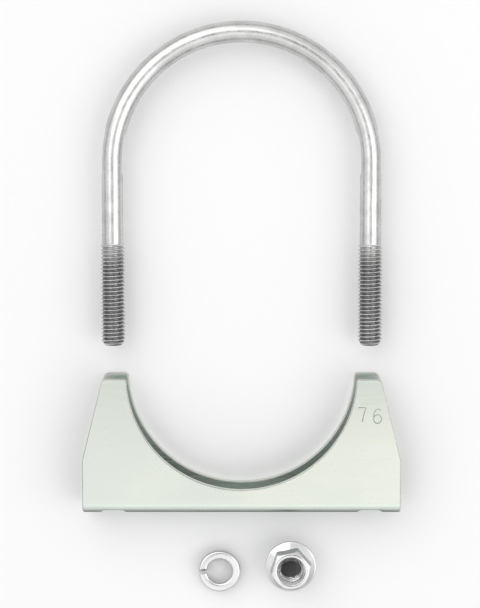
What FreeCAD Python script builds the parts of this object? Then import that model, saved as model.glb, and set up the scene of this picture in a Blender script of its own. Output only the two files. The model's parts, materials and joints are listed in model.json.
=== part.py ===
import FreeCAD, Part
import math
import os

# U-bolt pipe clamp, laid out in the order in which it goes together. Millimetres.
# X runs across the two legs, Y from the saddle towards the arch, and Z along the pipe.
# The origin is on the pipe's axis, half way through the saddle. The bench that the kit
# lies on is the plane of the saddle's back face.

# ---- driving dimensions -------------------------------------------------------------
pipe_diameter = 76.0          # the pipe that the clamp is made for
rod_diameter = 7.0            # rolled shank of the U-bolt
pipe_side_clearance = 1.0     # between the pipe and the inside of each leg

thread_growth = 0.9           # how much larger than the shank the rolled thread is
thread_pitch = 1.25
thread_depth = 0.62
thread_length = 34.0
leg_length = 60.6             # from the arch's centre to the tip
tip_chamfer = 0.8

sheet = 2.5                   # saddle's sheet
saddle_depth = 17.0           # over both side plates
fold_inside = 0.5             # inside radius of the two folds
web_drop = 7.8                # from the seat's lowest line to the outside of the web
shoulder_height = 17.8        # from the outside of the web to the foot of the side slopes
ear_drop = 1.1                # from the pipe's axis to the ears' tops
ear_width = 7.9               # from the seat to the ear's outer corner
base_overhang = 10.1          # from the leg's axis to the saddle's end
ear_outer_radius = 1.8
ear_inner_radius = 0.9
shoulder_radius = 4.0
foot_radius = 0.8
slot_clearance = 0.25         # round the leg, at the sides of its slot in the web
slot_skin = 0.8               # from the slot's end to the side plate's face
slot_corner = 2.2

washer_bore_clearance = 0.25  # round the thread
washer_width = 2.9            # radial width of the spring washer's section
washer_thickness = 2.1
washer_rise = 0.9             # how far its ends are sprung apart
washer_split = 1.3
split_lean = 28.0             # degrees that the split leans from the washer's axis

nut_flats = 12.0
nut_height = 8.0
flange_diameter = 17.0
flange_rim = 1.1
flange_cone = 1.6             # height of the cone from the rim to the flats
nut_chamfer_angle = 30.0
thread_running = 0.1          # between the nut's bore and the thread's crests
countersink = 0.8

# ---- where the loose pieces lie -------------------------------------------------------
tip_gap = 9.4                 # from the pipe's axis to the legs' tips, before it is pushed home
washers_at = (-7.4, -22.5)    # the upper washer's centre, from the middle of the web
nuts_at = (16.5, -19.8)       # the upper nut's centre, from the middle of the web
washer_stack_gap = 0.4        # between the two washers, one lying on the other
washer_stack_shift = (0.0, -0.6)
nut_stack_gap = 0.2           # between the two nuts
nut_stack_shift = (0.2, -1.95)
washer_turn = 186.0           # degrees from +X to the washers' split
nut_turn = 12.0               # degrees that a corner of the nuts is turned from +X

# ---- sizes that follow ----------------------------------------------------------------
seat_radius = pipe_diameter / 2
seat_to_base = seat_radius + web_drop
shoulder_drop = seat_to_base - shoulder_height
fold_radius = sheet + fold_inside
leg_x = seat_radius + pipe_side_clearance + rod_diameter / 2
half_base = leg_x + base_overhang
bench_z = -saddle_depth / 2
thread_major = rod_diameter + thread_growth
thread_radius = thread_major / 2
laid_out = leg_length + tip_gap   # arch's centre, off the pipe's axis

X_AXIS = FreeCAD.Vector(1, 0, 0)
Y_AXIS = FreeCAD.Vector(0, 1, 0)
Z_AXIS = FreeCAD.Vector(0, 0, 1)
ORIGIN = FreeCAD.Vector(0, 0, 0)


def vec(x, y, z=0.0):
    return FreeCAD.Vector(x, y, z)


def laid_place(place, shift, level):
    """Where a loose piece lies, from its place under the web and its shift in the stack."""
    return vec(place[0] + shift[0], place[1] + shift[1] - seat_to_base, level)


def polygon_face(points):
    """A flat face with straight sides."""
    return Part.Face(Part.makePolygon(points + points[:1]))


def round_edges_along(solid, direction, spots, radius):
    """Rounds the straight edges that run along direction and pass within 0.3 of a spot."""
    picked = []
    for edge in solid.Edges:
        if edge.Curve.TypeId != "Part::GeomLine":
            continue
        if edge.tangentAt(edge.FirstParameter).cross(direction).Length > 1e-6:
            continue
        middle = edge.CenterOfMass
        for spot in spots:
            gap = (middle - spot).cross(direction).Length
            if gap < 0.3:
                picked.append(edge)
                break
    return solid.makeFillet(radius, picked)


# ---- saddle -----------------------------------------------------------------------------
def saddle_outline():
    """The side plates' outline, as a prism through the whole depth."""
    ear_x = seat_radius + ear_width
    corners = [
        vec(-half_base, -seat_to_base, bench_z),
        vec(half_base, -seat_to_base, bench_z),
        vec(half_base, -shoulder_drop, bench_z),
        vec(ear_x, -ear_drop, bench_z),
        vec(-ear_x, -ear_drop, bench_z),
        vec(-half_base, -shoulder_drop, bench_z),
    ]
    prism = polygon_face(corners).extrude(vec(0, 0, saddle_depth))
    prism = round_edges_along(prism, Z_AXIS, [corners[3], corners[4]], ear_outer_radius)
    prism = round_edges_along(prism, Z_AXIS, [corners[2], corners[5]], shoulder_radius)
    return round_edges_along(prism, Z_AXIS, [corners[0], corners[1]], foot_radius)


def folded_channel():
    """The sheet folded to a channel: a web across the base and two side plates."""
    def box_with_folds(inset, radius, top):
        width = saddle_depth - 2 * inset
        block = Part.makeBox(
            2 * half_base,
            seat_to_base - inset + top,
            width,
            vec(-half_base, -seat_to_base + inset, -width / 2),
        )
        base = -seat_to_base + inset
        folds = [vec(0, base, -width / 2), vec(0, base, width / 2)]
        return round_edges_along(block, X_AXIS, folds, radius)

    outside = box_with_folds(0.0, fold_radius, 0.0)
    inside = box_with_folds(sheet, fold_inside, 1.0)
    return outside.cut(inside)


def leg_slot(side):
    """The slot punched through the web, and into the folds, for one leg."""
    width = thread_major + 2 * slot_clearance
    length = saddle_depth - 2 * slot_skin
    block = Part.makeBox(
        width,
        fold_radius + 1.0,
        length,
        vec(side * leg_x - width / 2, -seat_to_base - 1.0, -length / 2),
    )
    corners = [
        vec(side * leg_x + across * width / 2, 0, along * length / 2)
        for across in (-1, 1)
        for along in (-1, 1)
    ]
    return round_edges_along(block, Y_AXIS, corners, slot_corner)


def make_saddle():
    body = folded_channel().common(saddle_outline())
    seat = Part.makeCylinder(seat_radius, saddle_depth + 2, vec(0, 0, bench_z - 1), Z_AXIS)
    body = body.cut(seat)
    inner_x = math.sqrt(seat_radius ** 2 - ear_drop ** 2)
    tips = [vec(-inner_x, -ear_drop), vec(inner_x, -ear_drop)]
    body = round_edges_along(body, Z_AXIS, tips, ear_inner_radius)
    for side in (-1, 1):
        body = body.cut(leg_slot(side))
    return body.removeSplitter()


# ---- U-bolt -----------------------------------------------------------------------------
def thread_profile(start):
    """Radius against height of one threaded end, from start down to the tip."""
    tip = start - thread_length
    root = thread_radius - thread_depth
    profile = [vec(rod_diameter / 2, start)]
    turns = int((thread_length - tip_chamfer) / thread_pitch)
    for turn in range(turns):
        top = start - turn * thread_pitch
        profile.append(vec(root, top - 0.25 * thread_pitch))
        profile.append(vec(thread_radius, top - 0.69 * thread_pitch))
        profile.append(vec(thread_radius, top - 0.81 * thread_pitch))
    profile.append(vec(root, tip + tip_chamfer))
    profile.append(vec(root - 0.7 * tip_chamfer, tip))
    return profile, tip


def make_leg(side):
    """A straight leg: plain shank, then the rings that stand for its thread."""
    start = thread_length - leg_length
    profile, tip = thread_profile(start)
    shank_top = vec(rod_diameter / 2, 0)
    outline = [vec(0, 0), shank_top] + profile + [vec(0, tip)]
    leg = polygon_face(outline).revolve(ORIGIN, Y_AXIS, 360)
    leg.translate(vec(side * leg_x, 0))
    return leg


def make_arch():
    """Half a ring of round rod about the arch's centre."""
    section = Part.Face(Part.Wire(Part.makeCircle(rod_diameter / 2, vec(leg_x, 0), Y_AXIS)))
    return section.revolve(ORIGIN, Z_AXIS, 180)


def make_u_bolt():
    bolt = make_arch().fuse([make_leg(-1), make_leg(1)]).removeSplitter()
    bolt.translate(vec(0, laid_out))
    return bolt


# ---- spring lock washer -------------------------------------------------------------------
def make_lock_washer(level, shift=(0.0, 0.0)):
    """A ring of one coil with a leaning split, its first end down, lying at height level."""
    inner = thread_radius + washer_bore_clearance
    outer = inner + washer_width
    half = washer_thickness / 2
    section = polygon_face([
        vec(inner, 0, -half), vec(outer, 0, -half), vec(outer, 0, half), vec(inner, 0, half),
    ])
    path = Part.Wire(Part.makeHelix(washer_rise, washer_rise, (inner + outer) / 2))
    ring = path.makePipeShell([section.OuterWire], True, True)
    cutter = Part.makeBox(
        washer_width + 4,
        washer_split,
        10 * washer_thickness,
        vec(inner - 2, -washer_split / 2, -5 * washer_thickness),
    )
    cutter.rotate(ORIGIN, X_AXIS, split_lean)
    cutter.translate(vec(0, 0, washer_rise / 2))
    ring = max(ring.cut(cutter).Solids, key=lambda solid: solid.Volume)
    ring.rotate(ORIGIN, Z_AXIS, washer_turn)
    ring.translate(laid_place(washers_at, shift, level + half))
    return ring


# ---- flange nut -----------------------------------------------------------------------------
def make_flange_nut(level, shift=(0.0, 0.0)):
    """A hexagon nut with a coned flange, its bearing face down, lying at height level."""
    corner = nut_flats / math.sqrt(3)
    corners = [
        vec(corner * math.cos(math.radians(60 * k)), corner * math.sin(math.radians(60 * k)))
        for k in range(6)
    ]
    hexagon = polygon_face(corners).extrude(vec(0, 0, nut_height))
    slope = math.tan(math.radians(nut_chamfer_angle))
    apex = nut_height + 0.97 * nut_flats / 2 * slope
    crown = Part.makeCone(2 * apex / slope, 0, 2 * apex, vec(0, 0, -apex), Z_AXIS)
    hexagon = hexagon.common(crown)
    rim = flange_diameter / 2
    flange = Part.makeCylinder(rim, flange_rim, ORIGIN, Z_AXIS)
    cone = Part.makeCone(rim, nut_flats / 2, flange_cone, vec(0, 0, flange_rim), Z_AXIS)
    nut = hexagon.fuse([flange, cone])
    bore_radius = thread_radius + thread_running
    nut = nut.cut(Part.makeCylinder(bore_radius, nut_height + 2, vec(0, 0, -1), Z_AXIS))
    wide = bore_radius + countersink
    for foot, bottom, top in ((0.0, wide, bore_radius),
                              (nut_height - countersink, bore_radius, wide)):
        nut = nut.cut(Part.makeCone(bottom, top, countersink, vec(0, 0, foot), Z_AXIS))
    nut = nut.removeSplitter()
    nut.rotate(ORIGIN, Z_AXIS, nut_turn)
    nut.translate(laid_place(nuts_at, shift, level))
    return nut


def build():
    upper_washer = bench_z + washer_thickness + washer_stack_gap
    upper_nut = bench_z + nut_height + nut_stack_gap
    return {
        "saddle": make_saddle(),
        "u_bolt": make_u_bolt(),
        "lock_washer_right": make_lock_washer(bench_z, washer_stack_shift),
        "lock_washer_left": make_lock_washer(upper_washer),
        "flange_nut_left": make_flange_nut(bench_z, nut_stack_shift),
        "flange_nut_right": make_flange_nut(upper_nut),
    }


os.makedirs("parts", exist_ok=True)
for name, shape in build().items():
    shape.exportStep("parts/" + name + ".step")
    box = shape.BoundBox
    print(name, shape.ShapeType, shape.isValid(), "solids", len(shape.Solids),
          "volume", round(shape.Volume, 1),
          "x", round(box.XMin, 2), round(box.XMax, 2),
          "y", round(box.YMin, 2), round(box.YMax, 2),
          "z", round(box.ZMin, 2), round(box.ZMax, 2))
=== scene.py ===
"""A U-bolt pipe clamp laid out as a kit: folded saddle, U-bolt, spring washers, flange nuts.

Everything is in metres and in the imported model's frame: X runs across the two legs, Y from
the saddle towards the arch, and Z along the pipe. The bench is the plane of the saddle's
back face, and the U-bolt is held above it, level with the saddle's slots.
"""

import json
import math

import bmesh
import bpy
import numpy as np
from mathutils import Matrix, Vector


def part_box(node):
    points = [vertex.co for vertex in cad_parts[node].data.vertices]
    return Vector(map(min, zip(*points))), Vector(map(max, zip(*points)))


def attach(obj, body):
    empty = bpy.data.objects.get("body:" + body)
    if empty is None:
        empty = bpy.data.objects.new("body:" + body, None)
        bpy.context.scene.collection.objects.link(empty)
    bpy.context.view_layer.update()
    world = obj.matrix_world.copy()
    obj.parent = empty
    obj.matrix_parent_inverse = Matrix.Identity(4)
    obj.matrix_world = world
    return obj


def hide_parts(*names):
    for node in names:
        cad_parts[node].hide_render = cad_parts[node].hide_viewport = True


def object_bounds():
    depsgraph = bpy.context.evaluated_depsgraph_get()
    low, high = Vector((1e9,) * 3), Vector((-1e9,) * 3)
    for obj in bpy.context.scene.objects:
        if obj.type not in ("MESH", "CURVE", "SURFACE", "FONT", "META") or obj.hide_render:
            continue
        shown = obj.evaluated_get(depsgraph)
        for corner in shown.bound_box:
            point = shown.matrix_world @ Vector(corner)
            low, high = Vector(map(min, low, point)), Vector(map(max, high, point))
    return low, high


MM = 0.001

# ---- meshes ---------------------------------------------------------------------------
WELD = 0.0005 * MM             # points closer than this are one point
SLIVER = 0.0002 * MM           # edges shorter than this are dropped
SHARP_FROM = math.radians(38)  # turn between two faces from which their edge stays crisp

# ---- U-bolt ---------------------------------------------------------------------------
ROD_RADIUS = 3.5 * MM
LEG_X = 42.5 * MM              # from the middle to each leg's axis, and the arch's radius
THREAD_RADIUS = 3.95 * MM      # over the crests
THREAD_ROOT = 3.33 * MM
THREAD_PITCH = 1.25 * MM
THREAD_LENGTH = 34.0 * MM
RUN_OUT = 1.2 * MM             # over which the rolled thread comes up to its full depth
CREST_FROM = 0.95              # share of the half pitch at which the crest is full
ROOT_UNTIL = 0.22              # share of the half pitch up to which the root is flat
ROOT_SHADE_FADE = 10.0 * MM           # below the run-out, over which the roots' painted shade thins out
ROOT_SHADE_LOSS = 0.55                # share of it that is missing beside the run-out
TIP_RADIUS = 2.75 * MM
TIP_SLOPE = 0.75               # radius gained for each unit of length at the pointed tip
NECK_OUTSIDE = 0.30 * MM       # pressed flat by the bending die, outside and inside the bend
NECK_INSIDE = 0.50 * MM
NECK_ABOVE = 9.0 * MM          # how far the pressed length runs round the bend
NECK_BELOW = 3.3 * MM          # and down the leg
NECK_FADE = 1.6 * MM
NECK_SOFTNESS = 0.12 * MM      # where a pressed flat runs into the round
CAP_RINGS = np.array([0.0, 0.55, 0.93])   # share of the tip's radius, from its middle out
ROD_COLUMNS = 64
ARCH_ROWS = 120
SHANK_ROWS = 40
THREAD_ROW = 0.1 * MM

# ---- nuts -----------------------------------------------------------------------------
NUT_HEIGHT = 8.0 * MM
NUT_APOTHEM = 6.0 * MM
NUT_TURN = math.radians(12.0)  # a corner's angle from +X
NUT_CHAMFER = math.tan(math.radians(30.0))
NUT_CROWN = 5.82 * MM          # radius at which the chamfer reaches the top face
FLANGE_RADIUS = 8.5 * MM
FLANGE_RIM = 1.1 * MM
FLANGE_TOP = 2.7 * MM          # height at which the flange's cone meets the flats
FLANGE_ROUND = 0.28 * MM
COUNTERSINK_RADIUS = 4.85 * MM
THREAD_PLAY = 0.10 * MM        # between the nut's thread and the leg's
CORNER_SOFTNESS = 0.10 * MM
FLANGE_SOFTNESS = 0.22 * MM
NUT_COLUMNS = 192
FLANGE_ARC = math.radians(80)  # how far the rim's upper rounding turns before the cone
NUT_ROWS = (                   # stretches of the outside, from, to and rows
    (FLANGE_RIM, 3.2 * MM, 24), (3.5 * MM, 6.8 * MM, 6), (7.0 * MM, NUT_HEIGHT - 0.04 * MM, 26),
)
BORE_SHADE_DEPTHS = (0.6 * MM, 1.4 * MM)   # depth from a nut's face over which the thread's painted shade comes in

# ---- spring washers -------------------------------------------------------------------
WASHER_INNER = 4.2 * MM
WASHER_WIDTH = 2.9 * MM
WASHER_THICKNESS = 2.1 * MM
WASHER_RISE = 0.9 * MM
WASHER_SPLIT = 1.3 * MM
SPLIT_LEAN = math.radians(28.0)
WASHER_TURN = math.radians(186.0)
WASHER_ROUND = 0.80 * MM
WASHER_ROWS = 150
END_RINGS = np.array([0.0, 0.6, 0.93])    # share of the section, from a cut face's middle out

# ---- saddle ---------------------------------------------------------------------------
SHEARED_EDGE = 0.28 * MM       # rounding of the blanked sheet's edges
EASED_FROM = math.radians(50)  # turn between two faces from which their edge is eased
SADDLE_SHARP = math.radians(32)
FLAT_WITHIN = math.radians(0.6)   # faces closer to level than this are joined to one
SADDLE_WELD = 0.001 * MM
STAMP_AT = (39.80 * MM, -12.70 * MM)   # middle of the 7, on the right ear
STAMP_STEP = (4.95 * MM, -0.50 * MM)   # from the 7 to the 6
STAMP_HEIGHT = 4.7 * MM
STAMP_WIDTH = 2.6 * MM
STAMP_TOOL = 0.17 * MM         # radius of the stamp's rounded edge
STAMP_DEPTH = 0.10 * MM
STAMP_SIDES = 12
EAR_SHADE_HEIGHTS = (-24.0 * MM, -6.0 * MM)       # heights between which the ears darken towards their tops, painted shade
FOLD_TINT = (-41.0 * MM, -44.0 * MM)     # and the fold's mint tint, going down
UNDERSIDE_SHADE_HEIGHTS = (-44.7 * MM, -45.2 * MM)    # and the underside painted nearly black as shade
SEAT_CUT_HIGHLIGHT = (38.2 * MM, 38.1 * MM)        # radius at which the seat's cut face starts; it is painted near white as a highlight
CHANNEL_SHADE_FROM = (6.3 * MM, 6.05 * MM)   # distance from the middle plane, inside the plates, where the channel takes painted shade
CUT_ROUGHNESS = 0.62

# ---- finishes, bench, light and camera ------------------------------------------------
GRAIN_HEIGHT = 0.02 * MM
SCRATCH_TINT = (0.90, 0.90, 0.88, 1)
BENCH_HALF = 3.0                         # it reaches this far from the middle each way
BENCH_ROUGHNESS = 0.9
BENCH_PALE = (0.93, 0.93, 0.93, 1)
BENCH_REFLECTED_SHADE = (0.70, 0.70, 0.70, 1)   # darker grey that polished metal shows of the bench, in reflections only: painted reflection shade
OPENING_TOWARDS = (0.02, 0.12, 1)        # dark opening in the tent, overhead
OPENING_EDGE = (17.0, 9.0)               # degrees from its middle, outside and inside
OPENING_GREY = (0.08, 0.08, 0.08, 1)
TENT_BANDS = (                           # height in the tent, 0 is the horizon, and its grey
    (0.12, 0.28), (0.30, 0.62), (0.50, 0.90), (0.66, 0.62), (0.84, 0.95),
)
TENT_STRENGTH = 1.07
VIEW_FROM = Vector((-0.5, 102.2, 695.5)) * MM
VIEW_TO = Vector((-0.5, 23.0, 0.0)) * MM
LENS = 125.2                             # focal length for a 36 mm wide sensor

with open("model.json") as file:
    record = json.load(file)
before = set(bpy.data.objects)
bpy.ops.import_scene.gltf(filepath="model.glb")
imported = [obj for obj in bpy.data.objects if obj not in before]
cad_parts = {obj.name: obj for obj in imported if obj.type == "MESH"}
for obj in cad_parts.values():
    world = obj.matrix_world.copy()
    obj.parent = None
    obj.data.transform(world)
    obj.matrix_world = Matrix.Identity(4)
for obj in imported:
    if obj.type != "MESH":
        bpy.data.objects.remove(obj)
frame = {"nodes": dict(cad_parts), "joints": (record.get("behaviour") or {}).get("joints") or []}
cad_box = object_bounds()


# ---- surfaces -------------------------------------------------------------------------
def grid_mesh(name, points, along, around, grooves=None, ring=False):
    """A closed surface over a grid of points, row by row, with its columns joined round.

    A face lies between point (row, column) and point (row + 1, column + 1). With ring the
    last row joins the first one too. Its UV map holds along (by row) and around (by
    column, one value more than the columns), and grooves is kept for the material.
    """
    rows, columns = points.shape[:2]
    index = np.arange(rows * columns).reshape(rows, columns)
    last = rows if ring else rows - 1
    row, column = np.meshgrid(np.arange(last), np.arange(columns), indexing="ij")
    row_pairs = np.stack([row, row, row + 1, row + 1], axis=-1)
    column_pairs = np.stack([column, column + 1, column + 1, column], axis=-1)
    quads = index[row_pairs % rows, column_pairs % columns].reshape(-1, 4)
    mesh = bpy.data.meshes.new(name)
    mesh.from_pydata(points.reshape(-1, 3).tolist(), [], quads.tolist())
    uv = np.stack([along[row_pairs], around[column_pairs]], axis=-1)
    mesh.uv_layers.new(name="UVMap").data.foreach_set("uv", uv.astype(np.float32).ravel())
    if grooves is not None:
        attribute = mesh.attributes.new("groove", "FLOAT", "POINT")
        attribute.data.foreach_set("value", grooves.astype(np.float32).ravel())
    close_mesh(mesh)
    mesh.set_sharp_from_angle(angle=SHARP_FROM)
    return mesh


def close_mesh(mesh):
    """Joins doubled points at seams and poles, and turns every face outwards."""
    work = bmesh.new()
    work.from_mesh(mesh)
    bmesh.ops.remove_doubles(work, verts=work.verts, dist=WELD)
    bmesh.ops.dissolve_degenerate(work, edges=work.edges, dist=SLIVER)
    bmesh.ops.recalc_face_normals(work, faces=work.faces)
    for face in work.faces:
        face.smooth = True
    work.to_mesh(mesh)
    work.free()


def add_piece(name, mesh, node, material):
    """Puts a finished mesh in the scene in place of the CAD node that it stands for."""
    piece = bpy.data.objects.new(name, mesh)
    bpy.context.scene.collection.objects.link(piece)
    if not mesh.materials:
        mesh.materials.append(material)
    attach(piece, node)
    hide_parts(node)
    return piece


def smooth_step(low, high, value):
    """0 below low, 1 above high, and an even S between them."""
    share = np.clip((value - low) / (high - low), 0, 1)
    return share * share * (3 - 2 * share)


def soft_min(a, b, softness):
    """The smaller of a and b, rounded where they are nearly equal."""
    blend = np.clip(0.5 + 0.5 * (b - a) / softness, 0, 1)
    return b + (a - b) * blend - softness * blend * (1 - blend)


def soft_max(a, b, softness):
    """The larger of a and b, rounded where they are nearly equal."""
    return -soft_min(-a, -b, softness)


# ---- thread ---------------------------------------------------------------------------
def thread_phase(x, y, z):
    """Place within one turn of a right-hand helix about the nearer leg: 0 is on the crest.

    The phase is the height in pitches less the angle from Z towards X in turns.
    """
    angle = np.arctan2(x - np.sign(x) * LEG_X, z)
    return y / THREAD_PITCH - angle / (2 * math.pi)


def thread_wave(phase):
    """0 in the root and 1 on the crest, with a rounded flank between them."""
    from_root = 2 * np.abs(np.mod(phase, 1) - 0.5)
    return smooth_step(ROOT_UNTIL, CREST_FROM, from_root)


# ---- U-bolt ---------------------------------------------------------------------------
def rod_path(tip_y, arch_y):
    """Stations from the right tip, round the arch, to the left tip.

    Gives each station's centre, its outward direction, and its distance past the line
    where the right and the left leg run into the arch (positive round the arch).
    """
    threaded = np.arange(0, THREAD_LENGTH, THREAD_ROW) + tip_y
    shank = np.linspace(tip_y + THREAD_LENGTH, arch_y, SHANK_ROWS, endpoint=False)
    leg_y = np.concatenate([threaded, shank])
    turn = np.linspace(0, math.pi, ARCH_ROWS + 1)
    leg_x = np.full(leg_y.size, LEG_X)
    x = np.concatenate([leg_x, LEG_X * np.cos(turn), -leg_x])
    y = np.concatenate([leg_y, arch_y + LEG_X * np.sin(turn), leg_y[::-1]])
    flat = np.zeros(leg_y.size)
    out_x = np.concatenate([flat + 1, np.cos(turn), flat - 1])
    out_y = np.concatenate([flat, np.sin(turn), flat])
    past = np.concatenate([
        leg_y - arch_y, LEG_X * np.minimum(turn, math.pi - turn), leg_y[::-1] - arch_y,
    ])
    return x, y, out_x, out_y, past


def u_bolt_mesh():
    """Round rod carried along two legs and an arch, with a rolled thread on each leg.

    The radius is the shank's, less the die's two flats near the bend, blended into the
    thread's wave below the run-out, and kept inside a cone at the tips.
    """
    low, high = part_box("u_bolt")
    tip_y = low.y
    arch_y = high.y - LEG_X - ROD_RADIUS
    x, y, out_x, out_y, past = rod_path(tip_y, arch_y)
    angle = np.linspace(-math.pi / 2, 1.5 * math.pi, ROD_COLUMNS, endpoint=False)
    across, rise = np.cos(angle), np.sin(angle)
    on_leg = (past <= 0)[:, None]

    pressed = (smooth_step(-NECK_BELOW - NECK_FADE, -NECK_BELOW, past)
               * (1 - smooth_step(NECK_ABOVE, NECK_ABOVE + NECK_FADE, past)))[:, None]
    side = np.maximum(np.abs(across), 1e-3)[None, :]
    die = np.where(across > 0, NECK_OUTSIDE, NECK_INSIDE)[None, :]
    flat = (ROD_RADIUS - pressed * die) / side
    radius = soft_min(np.full(flat.shape, ROD_RADIUS), flat, NECK_SOFTNESS)
    radius = np.where(pressed > 0, radius, ROD_RADIUS)

    surface_x = x[:, None] + out_x[:, None] * across * ROD_RADIUS
    wave = thread_wave(thread_phase(surface_x, y[:, None], rise * ROD_RADIUS))
    start = tip_y + THREAD_LENGTH
    depth = 1 - smooth_step(start - RUN_OUT, start, y)[:, None]
    threaded = THREAD_ROOT + (THREAD_RADIUS - THREAD_ROOT) * wave
    radius = np.where(on_leg, radius + (threaded - radius) * depth, radius)
    pointed = TIP_RADIUS + TIP_SLOPE * (y[:, None] - tip_y)
    radius = np.where(on_leg, np.minimum(radius, pointed), radius)
    # the thread's roots take painted shade, thinning out towards the run-out
    root_shade = 1 - ROOT_SHADE_LOSS * smooth_step(start - ROOT_SHADE_FADE, start, y)[:, None]
    grooves = np.where(on_leg, (1 - wave) * depth * root_shade, 0.0)

    caps = CAP_RINGS[:, None]
    radius = np.concatenate([caps * radius[0], radius, caps[::-1] * radius[-1]])
    grooves = np.pad(grooves, ((caps.size, caps.size), (0, 0)))
    x, y, out_x, out_y = (
        np.pad(values, caps.size, mode="edge")[:, None] for values in (x, y, out_x, out_y)
    )
    points = np.stack([
        x + out_x * across * radius, y + out_y * across * radius, rise * radius,
    ], axis=-1)
    step = np.hypot(np.diff(x[:, 0]), np.diff(y[:, 0]))
    along = np.concatenate([[0], np.cumsum(step), [0]])
    around = np.linspace(0, 2 * math.pi * ROD_RADIUS, ROD_COLUMNS + 1)
    return grid_mesh("u_bolt_rod", points, along, around, grooves)


# ---- spring washers -------------------------------------------------------------------
def rounded_section(width, height, corner, per_corner=7):
    """Corner arcs of a rounded rectangle about its middle, as points going round it."""
    turn = np.linspace(0, math.pi / 2, per_corner)
    parts = []
    for quarter in range(4):
        start = quarter * math.pi / 2
        middle_x = (width / 2 - corner) * (1 if quarter in (0, 3) else -1)
        middle_y = (height / 2 - corner) * (1 if quarter in (0, 1) else -1)
        parts.append(np.stack([
            middle_x + corner * np.cos(start + turn), middle_y + corner * np.sin(start + turn),
        ], axis=-1))
    return np.concatenate(parts)


def washer_mesh(name, node):
    """A rounded section carried round one coil between two leaning cut faces.

    A section point at radius r and height h turns from the angle at which it meets one
    cut plane to the angle at which it meets the other, and climbs evenly as it turns.
    """
    section = rounded_section(WASHER_WIDTH, WASHER_THICKNESS, WASHER_ROUND)
    shrink = np.concatenate([END_RINGS, np.ones(WASHER_ROWS), END_RINGS[::-1]])[:, None]
    share = np.pad(np.linspace(0, 1, WASHER_ROWS), END_RINGS.size, mode="edge")[:, None]
    radius = WASHER_INNER + WASHER_WIDTH / 2 + shrink * section[:, 0]
    height = shrink * section[:, 1]
    half_split = WASHER_SPLIT / 2

    def cut_angle(side, level):
        reach = side * half_split - (level - WASHER_RISE / 2) * math.sin(SPLIT_LEAN)
        return np.arcsin(reach / (radius * math.cos(SPLIT_LEAN)))

    first = cut_angle(1, height)
    final = 2 * math.pi + cut_angle(-1, height + WASHER_RISE)
    turn = first + share * (final - first)
    level = height + WASHER_RISE * turn / (2 * math.pi)
    low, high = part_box(node)
    outer = WASHER_INNER + WASHER_WIDTH
    points = np.stack([
        high.x - outer + radius * np.cos(turn + WASHER_TURN),
        (low.y + high.y) / 2 + radius * np.sin(turn + WASHER_TURN),
        low.z + WASHER_THICKNESS / 2 + level,
    ], axis=-1)
    along = np.append(share[:, 0] * 2 * math.pi * outer, 0)
    around = np.linspace(0, 2 * (WASHER_WIDTH + WASHER_THICKNESS), section.shape[0] + 1)
    return grid_mesh(name, points, along, around)


# ---- flange nuts ----------------------------------------------------------------------
def nut_outer_radius(turn, height):
    """Hexagon, cut down by the chamfer's cone at the top and standing on the flange's cone."""
    sides = [np.cos(turn - NUT_TURN - math.radians(30 + 60 * side)) for side in range(6)]
    nearest = np.sort(np.stack(sides), axis=0)
    flat = NUT_APOTHEM / nearest[-1]
    next_flat = NUT_APOTHEM / np.maximum(nearest[-2], 0.2)
    hexagon = soft_min(flat, next_flat, 4 * CORNER_SOFTNESS)
    chamfer = NUT_CROWN + (NUT_HEIGHT - height) / NUT_CHAMFER
    body = soft_min(hexagon, chamfer, 2 * CORNER_SOFTNESS)
    slope = (FLANGE_RADIUS - NUT_APOTHEM) / (FLANGE_TOP - FLANGE_RIM)
    cone = FLANGE_RADIUS - FLANGE_ROUND - slope * (height - FLANGE_RIM)
    return soft_max(body, cone, FLANGE_SOFTNESS)


def nut_profile():
    """Radius and height round the nut's section, with a mark on what the hexagon shapes."""
    corner = np.linspace(-math.pi / 2, 0, 6)
    middle = FLANGE_RADIUS - FLANGE_ROUND
    foot = [(COUNTERSINK_RADIUS + 0.02 * MM, 0), (6.5 * MM, 0), (middle - 0.1 * MM, 0)]
    foot += [(middle + FLANGE_ROUND * math.cos(a), FLANGE_ROUND * (1 + math.sin(a)))
             for a in corner]
    top = FLANGE_RIM - FLANGE_ROUND
    foot += [(middle + FLANGE_ROUND * math.cos(a), top + FLANGE_ROUND * math.sin(a))
             for a in np.linspace(0, FLANGE_ARC, 6)]
    body = np.concatenate([np.linspace(*stretch) for stretch in NUT_ROWS])
    crown = [(NUT_CROWN - 0.06 * MM, NUT_HEIGHT), (5.3 * MM, NUT_HEIGHT),
             (COUNTERSINK_RADIUS + 0.04 * MM, NUT_HEIGHT)]
    bore = np.arange(NUT_HEIGHT - 0.02 * MM, 0.01 * MM, -THREAD_ROW)
    return np.array(foot), body, np.array(crown), bore


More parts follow.
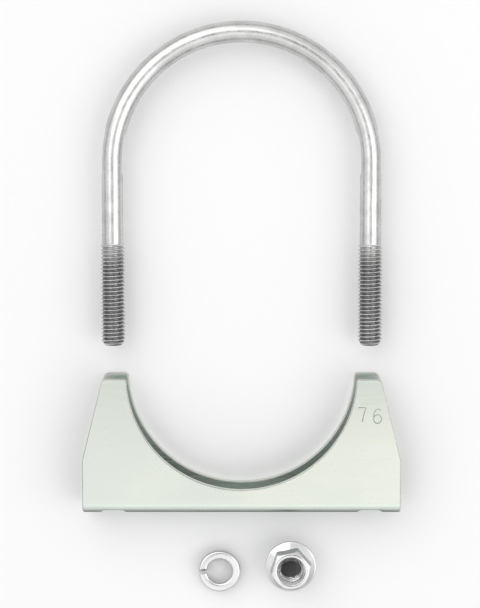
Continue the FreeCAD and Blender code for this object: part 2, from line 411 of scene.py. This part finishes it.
def nut_mesh(name, node, joint_name):
    """A flange nut's section carried round its axis, with the leg's thread cut inside.

    Each bore point's radius is the leg's own thread wave at the place where that point
    comes to on the leg, plus the play between the two threads, and the countersinks are
    cones that the bore can't be smaller than.
    """
    low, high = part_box(node)
    centre = (low + high) / 2
    turn = np.linspace(0, 2 * math.pi, NUT_COLUMNS, endpoint=False)[None, :]
    foot, body, crown, bore = nut_profile()
    round_foot = foot[:, :1].repeat(NUT_COLUMNS, axis=1)
    shaped = nut_outer_radius(turn, body[:, None])
    round_crown = crown[:, :1].repeat(NUT_COLUMNS, axis=1)

    placed = placed_matrix(joint_name)
    bore_height = bore[:, None] + low.z
    guess = np.stack(np.broadcast_arrays(
        centre.x + THREAD_RADIUS * np.cos(turn), centre.y + THREAD_RADIUS * np.sin(turn),
        bore_height,
    ), axis=-1)
    on_leg = guess @ placed[:3, :3].T + placed[:3, 3]
    phase = thread_phase(on_leg[..., 0], on_leg[..., 1] + slide_travel(), on_leg[..., 2])
    wave = thread_wave(phase)
    threaded = THREAD_ROOT + (THREAD_RADIUS - THREAD_ROOT) * wave + THREAD_PLAY
    from_face = np.minimum(bore, NUT_HEIGHT - bore)[:, None]
    bored = np.maximum(threaded, COUNTERSINK_RADIUS - from_face)

    radius = np.concatenate([round_foot, shaped, round_crown, bored])
    height = np.concatenate([foot[:, 1], body, crown[:, 1], bore])[:, None]
    grooves = np.zeros(radius.shape)
    # the bore's thread roots take painted shade, coming in with depth from each face
    grooves[-bore.size:] = wave * smooth_step(*BORE_SHADE_DEPTHS, from_face)
    points = np.stack([
        centre.x + radius * np.cos(turn),
        centre.y + radius * np.sin(turn),
        np.broadcast_to(low.z + height, radius.shape),
    ], axis=-1)
    along = np.linspace(0, 4 * NUT_HEIGHT, points.shape[0] + 1)
    around = np.linspace(0, 2 * math.pi * NUT_APOTHEM, NUT_COLUMNS + 1)
    return grid_mesh(name, points, along, around, grooves, ring=True)


def joint_named(name):
    """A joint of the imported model, by its name."""
    return next(joint for joint in frame["joints"] if joint["name"] == name)


def slide_travel():
    """How far the U-bolt's legs come down through the saddle."""
    return joint_named("u_bolt_slide")["range_m"][1]


def placed_matrix(joint_name):
    """The move that carries a nut from where it lies to its place on its leg."""
    joint = joint_named(joint_name)
    pivot = Matrix.Translation(Vector(joint["pos_m"]))
    turn = Matrix.Rotation(math.radians(joint["range_deg"][1]), 4, Vector(joint["axis"]))
    return np.array(pivot @ turn @ pivot.inverted())


# ---- saddle ---------------------------------------------------------------------------
def stamp_strokes():
    """The two numerals as lines of points in a unit box, each with a mark for a loop."""
    turn = np.linspace(0, 2 * math.pi, 28, endpoint=False)
    seven = np.array([(-0.5, 0.5), (-0.1, 0.5), (0.46, 0.5), (0.22, 0.12), (-0.02, -0.5)])
    bowl = np.stack([0.5 * np.cos(turn), -0.2 + 0.3 * np.sin(turn)], axis=-1)
    stem_turn = np.linspace(math.radians(55), math.radians(196), 14)
    stem = np.stack([
        0.06 + 0.56 * np.cos(stem_turn), -0.08 + 0.58 * np.sin(stem_turn),
    ], axis=-1)
    return [(seven, False, 0), (bowl, True, 1), (stem, False, 1)]


def stamp_cutter(points, loop, face_z):
    """A round tool carried along one stroke, sunk into the face to the stamp's depth."""
    if loop:
        ahead, behind = np.roll(points, -1, axis=0), np.roll(points, 1, axis=0)
    else:
        ahead = np.concatenate([points[1:], points[-1:]])
        behind = np.concatenate([points[:1], points[:-1]])
    along = ahead - behind
    along /= np.linalg.norm(along, axis=1)[:, None]
    aside = np.stack([-along[:, 1], along[:, 0]], axis=-1)
    turn = np.linspace(0, 2 * math.pi, STAMP_SIDES, endpoint=False)
    centre_z = face_z + STAMP_TOOL - STAMP_DEPTH
    size = np.full(len(points), STAMP_TOOL)
    if not loop:
        points = np.concatenate([points[:1], points, points[-1:]])
        aside = np.concatenate([aside[:1], aside, aside[-1:]])
        size = np.concatenate([[0], size, [0]])
    ring = np.stack([
        points[:, None, 0] + aside[:, None, 0] * size[:, None] * np.cos(turn),
        points[:, None, 1] + aside[:, None, 1] * size[:, None] * np.cos(turn),
        centre_z + size[:, None] * np.sin(turn),
    ], axis=-1)
    along_uv = np.zeros(len(points) + 1)
    return grid_mesh("stamp_tool", ring, along_uv, np.zeros(STAMP_SIDES + 1), ring=loop)


def baked_mesh(piece):
    """The piece's mesh with its modifiers carried out."""
    graph = bpy.context.evaluated_depsgraph_get()
    return bpy.data.meshes.new_from_object(piece.evaluated_get(graph))


def saddle_mesh(sheet, edge, stamped):
    """The folded channel with its sheared edges eased, then stamped with its pipe size.

    The eased edges take a dark finish that paints shade along them, and the stamp's strokes a
    finish of their own.
    """
    mesh = frame["nodes"]["saddle"].data.copy()
    mesh.materials.clear()
    mesh.materials.append(sheet)
    mesh.materials.append(edge)
    work = bmesh.new()
    work.from_mesh(mesh)
    bmesh.ops.remove_doubles(work, verts=work.verts, dist=SADDLE_WELD)
    bmesh.ops.dissolve_limit(
        work, angle_limit=FLAT_WITHIN, verts=work.verts, edges=work.edges,
    )
    work.to_mesh(mesh)
    work.free()
    blank = bpy.data.objects.new("saddle_blank", mesh)
    bpy.context.scene.collection.objects.link(blank)
    ease = blank.modifiers.new("eased edges", "BEVEL")
    ease.width = SHEARED_EDGE
    ease.segments = 3
    ease.limit_method = "ANGLE"
    ease.angle_limit = EASED_FROM
    ease.use_clamp_overlap = False
    # the eased strip takes the dark edge finish: painted shade along the edges
    ease.material = 1
    face_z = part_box("saddle")[1].z
    tools = []
    for stroke, loop, place in stamp_strokes():
        spot = np.array(STAMP_AT) + place * np.array(STAMP_STEP)
        points = stroke * np.array([STAMP_WIDTH, STAMP_HEIGHT]) + spot
        tool = bpy.data.objects.new("stamp_tool", stamp_cutter(points, loop, face_z))
        tool.data.materials.append(stamped)
        bpy.context.scene.collection.objects.link(tool)
        press = blank.modifiers.new("stamp", "BOOLEAN")
        press.operation = "DIFFERENCE"
        press.solver = "EXACT"
        press.material_mode = "TRANSFER"
        press.object = tool
        tools.append(tool)
    finished = baked_mesh(blank)
    for extra in [blank, *tools]:
        bpy.data.objects.remove(extra)
    finished.shade_smooth()
    finished.set_sharp_from_angle(angle=SADDLE_SHARP)
    finished.name = "saddle_channel"
    return finished


# ---- finishes -------------------------------------------------------------------------
def add_node(tree, kind, **settings):
    """A new node with its own settings and, by socket name, its values or links."""
    made = tree.nodes.new(kind)
    sockets = settings.pop("sockets", {})
    for name, value in settings.items():
        setattr(made, name, value)
    for name, value in sockets.items():
        if isinstance(value, bpy.types.NodeSocket):
            tree.links.new(value, made.inputs[name])
        else:
            made.inputs[name].default_value = value
    return made


def new_group(name, inputs, outputs):
    """An empty shader group; inputs and outputs are (name, kind, value) rows."""
    group = bpy.data.node_groups.new(name, "ShaderNodeTree")
    for label, kind, value in inputs:
        socket = group.interface.new_socket(label, in_out="INPUT", socket_type="NodeSocket" + kind)
        socket.default_value = value
    for label, kind in outputs:
        group.interface.new_socket(label, in_out="OUTPUT", socket_type="NodeSocket" + kind)
    return group, group.nodes.new("NodeGroupInput").outputs, group.nodes.new("NodeGroupOutput")


def plating_clouds():
    """Slow drift between two tints of the passivated zinc."""
    group, given, result = new_group(
        "plating clouds",
        [("Vector", "Vector", (0, 0, 0)), ("Scale", "Float", 30.0),
         ("Tint", "Color", (1, 1, 1, 1)), ("Other tint", "Color", (1, 1, 1, 1))],
        [("Color", "Color")],
    )
    cloud = add_node(group, "ShaderNodeTexNoise", sockets={
        "Vector": given["Vector"], "Scale": given["Scale"], "Detail": 3.0, "Roughness": 0.5,
    })
    spread = add_node(group, "ShaderNodeMapRange", interpolation_type="SMOOTHSTEP", sockets={
        "Value": cloud.outputs["Fac"], "From Min": 0.36, "From Max": 0.64,
    })
    blend = add_node(group, "ShaderNodeMix", data_type="RGBA", sockets={
        "Factor": spread.outputs["Result"],
    })
    group.links.new(given["Tint"], blend.inputs[6])
    group.links.new(given["Other tint"], blend.inputs[7])
    group.links.new(blend.outputs[2], result.inputs["Color"])
    return group


def drawn_grain():
    """Fine grain, stretched by the scale that the vector is given, as height and mask."""
    group, given, result = new_group(
        "drawn grain",
        [("Vector", "Vector", (0, 0, 0)), ("Stretch", "Vector", (1, 1, 1)),
         ("Fineness", "Float", 1000.0)],
        [("Height", "Float"), ("Mask", "Float")],
    )
    stretched = add_node(group, "ShaderNodeVectorMath", operation="MULTIPLY")
    group.links.new(given["Vector"], stretched.inputs[0])
    group.links.new(given["Stretch"], stretched.inputs[1])
    grain = add_node(group, "ShaderNodeTexNoise", sockets={
        "Vector": stretched.outputs["Vector"], "Scale": given["Fineness"], "Detail": 4.0,
    })
    dents = add_node(group, "ShaderNodeTexNoise", sockets={
        "Vector": given["Vector"], "Scale": 260.0, "Detail": 2.0,
    })
    total = add_node(group, "ShaderNodeMath", operation="MULTIPLY_ADD")
    group.links.new(dents.outputs["Fac"], total.inputs[0])
    total.inputs[1].default_value = 0.8
    group.links.new(grain.outputs["Fac"], total.inputs[2])
    group.links.new(total.outputs["Value"], result.inputs["Height"])
    group.links.new(grain.outputs["Fac"], result.inputs["Mask"])
    return group


def handling_marks():
    """Sparse fine scratches: thin level lines of a noise that is stretched and turned."""
    group, given, result = new_group(
        "handling marks",
        [("Vector", "Vector", (0, 0, 0)), ("Scale", "Float", 90.0), ("Turn", "Float", 0.6)],
        [("Mask", "Float")],
    )
    turned = add_node(group, "ShaderNodeVectorRotate", rotation_type="Z_AXIS", sockets={
        "Vector": given["Vector"], "Angle": given["Turn"],
    })
    long = add_node(group, "ShaderNodeVectorMath", operation="MULTIPLY")
    group.links.new(turned.outputs["Vector"], long.inputs[0])
    long.inputs[1].default_value = (0.12, 1.0, 1.0)
    field = add_node(group, "ShaderNodeTexNoise", sockets={
        "Vector": long.outputs["Vector"], "Scale": given["Scale"], "Detail": 1.0,
    })
    off = add_node(group, "ShaderNodeMath", operation="SUBTRACT")
    group.links.new(field.outputs["Fac"], off.inputs[0])
    off.inputs[1].default_value = 0.56
    size = add_node(group, "ShaderNodeMath", operation="ABSOLUTE")
    group.links.new(off.outputs["Value"], size.inputs[0])
    thin = add_node(group, "ShaderNodeMapRange", sockets={
        "Value": size.outputs["Value"], "From Min": 0.0, "From Max": 0.012,
        "To Min": 1.0, "To Max": 0.0,
    })
    where = add_node(group, "ShaderNodeTexNoise", sockets={
        "Vector": given["Vector"], "Scale": 55.0, "Detail": 1.0,
    })
    sparse = add_node(group, "ShaderNodeMapRange", sockets={
        "Value": where.outputs["Fac"], "From Min": 0.54, "From Max": 0.66,
    })
    both = add_node(group, "ShaderNodeMath", operation="MULTIPLY")
    group.links.new(thin.outputs["Result"], both.inputs[0])
    group.links.new(sparse.outputs["Result"], both.inputs[1])
    group.links.new(both.outputs["Value"], result.inputs["Mask"])
    return group


CLOUDS, GRAIN, MARKS = plating_clouds(), drawn_grain(), handling_marks()


def group_node(tree, group, **sockets):
    """Places a shader group, with its inputs' values or links by name."""
    return add_node(tree, "ShaderNodeGroup", node_tree=group, sockets=sockets)


def mix_colours(tree, factor, first, second, blend="MIX"):
    """Two colours mixed; each may be a plain value or a socket."""
    mix = add_node(tree, "ShaderNodeMix", data_type="RGBA", blend_type=blend, sockets={
        "Factor": factor,
    })
    for index, value in ((6, first), (7, second)):
        if isinstance(value, bpy.types.NodeSocket):
            tree.links.new(value, mix.inputs[index])
        else:
            mix.inputs[index].default_value = value
    return mix.outputs[2]


def ramp_between(tree, value, start, end, low=0.0, high=1.0):
    """low up to start and high from end on, evenly between them."""
    return add_node(tree, "ShaderNodeMapRange", sockets={
        "Value": value, "From Min": start, "From Max": end, "To Min": low, "To Max": high,
    }).outputs["Result"]


def zinc(name, tint, other_tint, roughness, cloud_scale, stretch, fineness, bump, use_uv=False):
    """A plated steel finish, with its tree, coordinates, colour and shader to add to."""
    material = bpy.data.materials.new(name)
    material.use_nodes = True
    tree = material.node_tree
    tree.nodes.clear()
    coordinates = add_node(tree, "ShaderNodeTexCoord")
    place = coordinates.outputs["Object"]
    follow = coordinates.outputs["UV"] if use_uv else place
    clouds = group_node(tree, CLOUDS, Vector=place, Scale=cloud_scale)
    clouds.inputs["Tint"].default_value = tint
    clouds.inputs["Other tint"].default_value = other_tint
    grain = group_node(tree, GRAIN, Vector=follow, Stretch=stretch, Fineness=fineness)
    marks = group_node(tree, MARKS, Vector=place)
    rough = ramp_between(tree, grain.outputs["Mask"], 0.3, 0.7, roughness[0], roughness[1])
    raised = add_node(tree, "ShaderNodeBump", sockets={
        "Height": grain.outputs["Height"], "Strength": bump, "Distance": GRAIN_HEIGHT,
    })
    shader = add_node(tree, "ShaderNodeBsdfPrincipled", sockets={
        "Metallic": 1.0, "Roughness": rough, "Normal": raised.outputs["Normal"],
    })
    output = add_node(tree, "ShaderNodeOutputMaterial")
    tree.links.new(shader.outputs["BSDF"], output.inputs["Surface"])
    worn = mix_colours(tree, marks.outputs["Mask"], clouds.outputs["Color"], SCRATCH_TINT)
    tree.links.new(worn, shader.inputs["Base Color"])
    return material, tree, place, worn, shader


def shade_thread_roots(tree, colour, shader, starts, full, root_shade):
    """Darkens a finish towards the given grey as painted shade where the thread's groove value
    goes from starts to full.
    """
    groove = add_node(tree, "ShaderNodeAttribute", attribute_name="groove").outputs["Fac"]
    root_shaded = mix_colours(tree, ramp_between(tree, groove, starts, full), colour, root_shade)
    tree.links.new(root_shaded, shader.inputs["Base Color"])


def separate(tree, vector):
    """The X, Y and Z sockets of a vector."""
    return add_node(tree, "ShaderNodeSeparateXYZ", sockets={"Vector": vector}).outputs


def sheet_zinc():
    """Satin plate on the saddle: straw and mint tints, mint at the fold, and painted shade towards
    the ear tops, on the underside and inside the channel, with a painted highlight on the seat's
    cut face.
    """
    material, tree, place, colour, shader = zinc(
        "satin zinc on sheet", (0.81, 0.86, 0.80, 1), (0.88, 0.91, 0.81, 1),
        (0.26, 0.35), 24.0, (0.06, 1.0, 1.0), 1500.0, 0.22,
    )
    axes = separate(tree, place)
    # the ears darken towards their tops: painted shade
    ear_shade = ramp_between(tree, axes["Y"], *EAR_SHADE_HEIGHTS)
    colour = mix_colours(tree, ear_shade, colour, (0.78, 0.82, 0.75, 1))
    low = ramp_between(tree, axes["Y"], *FOLD_TINT)
    colour = mix_colours(tree, low, colour, (0.82, 0.90, 0.83, 1))
    # the fold's underside is painted nearly black: painted shade
    underside_shade = ramp_between(tree, axes["Y"], *UNDERSIDE_SHADE_HEIGHTS)
    colour = mix_colours(tree, underside_shade, colour, (0.14, 0.16, 0.14, 1))
    away = add_node(tree, "ShaderNodeMath", operation="ABSOLUTE")
    tree.links.new(axes["Z"], away.inputs[0])
    flat = add_node(tree, "ShaderNodeCombineXYZ", sockets={"X": axes["X"], "Y": axes["Y"]})
    length = add_node(tree, "ShaderNodeVectorMath", operation="LENGTH")
    tree.links.new(flat.outputs["Vector"], length.inputs[0])
    # the seat's cut face is painted near white, a painted highlight; it is also rougher
    cut_face_highlight = ramp_between(tree, length.outputs["Value"], *SEAT_CUT_HIGHLIGHT)
    colour = mix_colours(tree, cut_face_highlight, colour, (0.97, 0.98, 0.94, 1))
    rough = add_node(tree, "ShaderNodeMath", operation="MAXIMUM")
    tree.links.new(shader.inputs["Roughness"].links[0].from_socket, rough.inputs[0])
    tree.links.new(ramp_between(tree, cut_face_highlight, 0, 1, 0, CUT_ROUGHNESS), rough.inputs[1])
    tree.links.new(rough.outputs["Value"], shader.inputs["Roughness"])
    # inside the channel the plate is painted darker: painted shade
    channel_shade = ramp_between(tree, away.outputs["Value"], *CHANNEL_SHADE_FROM)
    colour = mix_colours(tree, channel_shade, colour, (0.64, 0.70, 0.66, 1))
    tree.links.new(colour, shader.inputs["Base Color"])
    return material


def shaded_edge_zinc():
    """A thin dark line round the blank's eased edges: painted shade along the edges."""
    return zinc(
        "sheared edge painted dark as shade", (0.50, 0.53, 0.46, 1), (0.60, 0.62, 0.56, 1),
        (0.34, 0.46), 60.0, (1.0, 1.0, 0.3), 1500.0, 0.3,
    )[0]


def stamp_zinc():
    """Thin dark plate in the stamped strokes."""
    return zinc(
        "thin plate in the stamp", (0.34, 0.37, 0.35, 1), (0.46, 0.48, 0.46, 1),
        (0.40, 0.55), 300.0, (1.0, 1.0, 1.0), 1500.0, 0.3,
    )[0]


def rod_zinc():
    """Drawn rod with lines along it, and painted shade in the rolled thread's roots."""
    material, tree, _, colour, shader = zinc(
        "drawn zinc rod", (0.68, 0.68, 0.67, 1), (0.80, 0.80, 0.79, 1),
        (0.22, 0.38), 160.0, (0.25, 1.0, 1.0), 1600.0, 0.9, use_uv=True,
    )
    shade_thread_roots(tree, colour, shader, 0.15, 0.9, (0.19, 0.19, 0.19, 1))
    return material


def washer_zinc():
    """Bright plate, with the fine grain of the coiled spring section."""
    return zinc(
        "bright zinc on spring steel", (0.80, 0.80, 0.80, 1), (0.88, 0.88, 0.88, 1),
        (0.16, 0.28), 120.0, (1.0, 1.0, 0.2), 1800.0, 0.4,
    )[0]


def nut_zinc():
    """Bright plate, with painted shade in the tapped thread."""
    material, tree, _, colour, shader = zinc(
        "bright zinc on nuts", (0.80, 0.80, 0.80, 1), (0.88, 0.88, 0.88, 1),
        (0.14, 0.24), 110.0, (1.0, 1.0, 0.15), 2000.0, 0.35,
    )
    shade_thread_roots(tree, colour, shader, 0.1, 0.8, (0.06, 0.06, 0.06, 1))
    return material


sheet_finish = sheet_zinc()
saddle = add_piece("saddle_channel", saddle_mesh(sheet_finish, shaded_edge_zinc(), stamp_zinc()),
                   "saddle", sheet_finish)
flatten = saddle.modifiers.new("flat faces stay flat", "WEIGHTED_NORMAL")
flatten.keep_sharp = True
add_piece("u_bolt_rod", u_bolt_mesh(), "u_bolt", rod_zinc())
washer_finish, nut_finish = washer_zinc(), nut_zinc()
for side in ("left", "right"):
    washer = "lock_washer_" + side
    add_piece("spring_washer_" + side, washer_mesh("spring_washer_" + side, washer),
              washer, washer_finish)
    nut = "flange_nut_" + side
    add_piece("hex_flange_nut_" + side,
              nut_mesh("hex_flange_nut_" + side, nut, side + "_nut_place"),
              nut, nut_finish)


# ---- bench, light and camera ----------------------------------------------------------
def bench():
    half, level = BENCH_HALF, cad_box[0].z
    mesh = bpy.data.meshes.new("bench")
    mesh.from_pydata(
        [(-half, -half, level), (half, -half, level), (half, half, level), (-half, half, level)],
        [], [(0, 1, 2, 3)],
    )
    material = bpy.data.materials.new("pale bench")
    material.use_nodes = True
    tree = material.node_tree
    shader = tree.nodes["Principled BSDF"]
    # the bench is darker only where metal reflects it: painted shade in the reflections
    mirrored = add_node(tree, "ShaderNodeLightPath").outputs["Is Glossy Ray"]
    pale = mix_colours(tree, mirrored, BENCH_PALE, BENCH_REFLECTED_SHADE)
    tree.links.new(pale, shader.inputs["Base Color"])
    shader.inputs["Roughness"].default_value = BENCH_ROUGHNESS
    mesh.materials.append(material)
    plane = bpy.data.objects.new("bench", mesh)
    bpy.context.scene.collection.objects.link(plane)


def soft_light(name, place, target, size, power):
    """A square soft light at place, turned to face target."""
    light = bpy.data.lights.new(name, "AREA")
    light.shape = "SQUARE"
    light.size = size
    light.energy = power
    lamp = bpy.data.objects.new(name, light)
    lamp.location = place
    lamp.rotation_euler = (Vector(target) - Vector(place)).to_track_quat("-Z", "Y").to_euler()
    bpy.context.scene.collection.objects.link(lamp)


def studio_world():
    """A pale tent with a grey band low down and a dark opening overhead, to reflect in metal."""
    world = bpy.data.worlds.new("pale tent")
    bpy.context.scene.world = world
    world.use_nodes = True
    tree = world.node_tree
    tree.nodes.clear()
    direction = add_node(tree, "ShaderNodeTexCoord").outputs["Generated"]
    axes = separate(tree, direction)
    ramp = add_node(tree, "ShaderNodeValToRGB", sockets={"Fac": axes["Z"]})
    stops = ramp.color_ramp.elements
    stops[0].position, stops[0].color = 0.0, (0.30, 0.30, 0.30, 1)
    stops[1].position, stops[1].color = 1.0, (1.0, 1.0, 1.0, 1)
    for position, grey in TENT_BANDS:
        stops.new(position).color = (grey, grey, grey, 1)
    towards = add_node(tree, "ShaderNodeVectorMath", operation="DOT_PRODUCT")
    tree.links.new(direction, towards.inputs[0])
    towards.inputs[1].default_value = Vector(OPENING_TOWARDS).normalized()
    edge = [math.cos(math.radians(degrees)) for degrees in OPENING_EDGE]
    opening = ramp_between(tree, towards.outputs["Value"], *edge)
    colour = mix_colours(tree, opening, ramp.outputs["Color"], OPENING_GREY)
    background = add_node(tree, "ShaderNodeBackground", sockets={
        "Color": colour, "Strength": TENT_STRENGTH,
    })
    output = add_node(tree, "ShaderNodeOutputWorld")
    tree.links.new(background.outputs["Background"], output.inputs["Surface"])


def camera():
    lens = bpy.data.cameras.new("view")
    lens.lens = LENS
    lens.sensor_width = 36.0
    lens.clip_start = 0.05
    eye = bpy.data.objects.new("view", lens)
    back = (VIEW_FROM - VIEW_TO).normalized()
    right = Vector((0, 1, 0)).cross(back).normalized()
    turn = Matrix((right, back.cross(right), back)).transposed()
    eye.matrix_world = Matrix.Translation(VIEW_FROM) @ turn.to_4x4()
    bpy.context.scene.collection.objects.link(eye)
    bpy.context.scene.camera = eye


bench()
soft_light("key", (-0.55, 0.75, 1.25), (0, 0, 0), 1.5, 6.0)
soft_light("fill", (0.75, -0.15, 0.95), (0, 0, 0), 0.8, 2.0)
studio_world()
camera()
bpy.context.scene.view_settings.view_transform = "Standard"
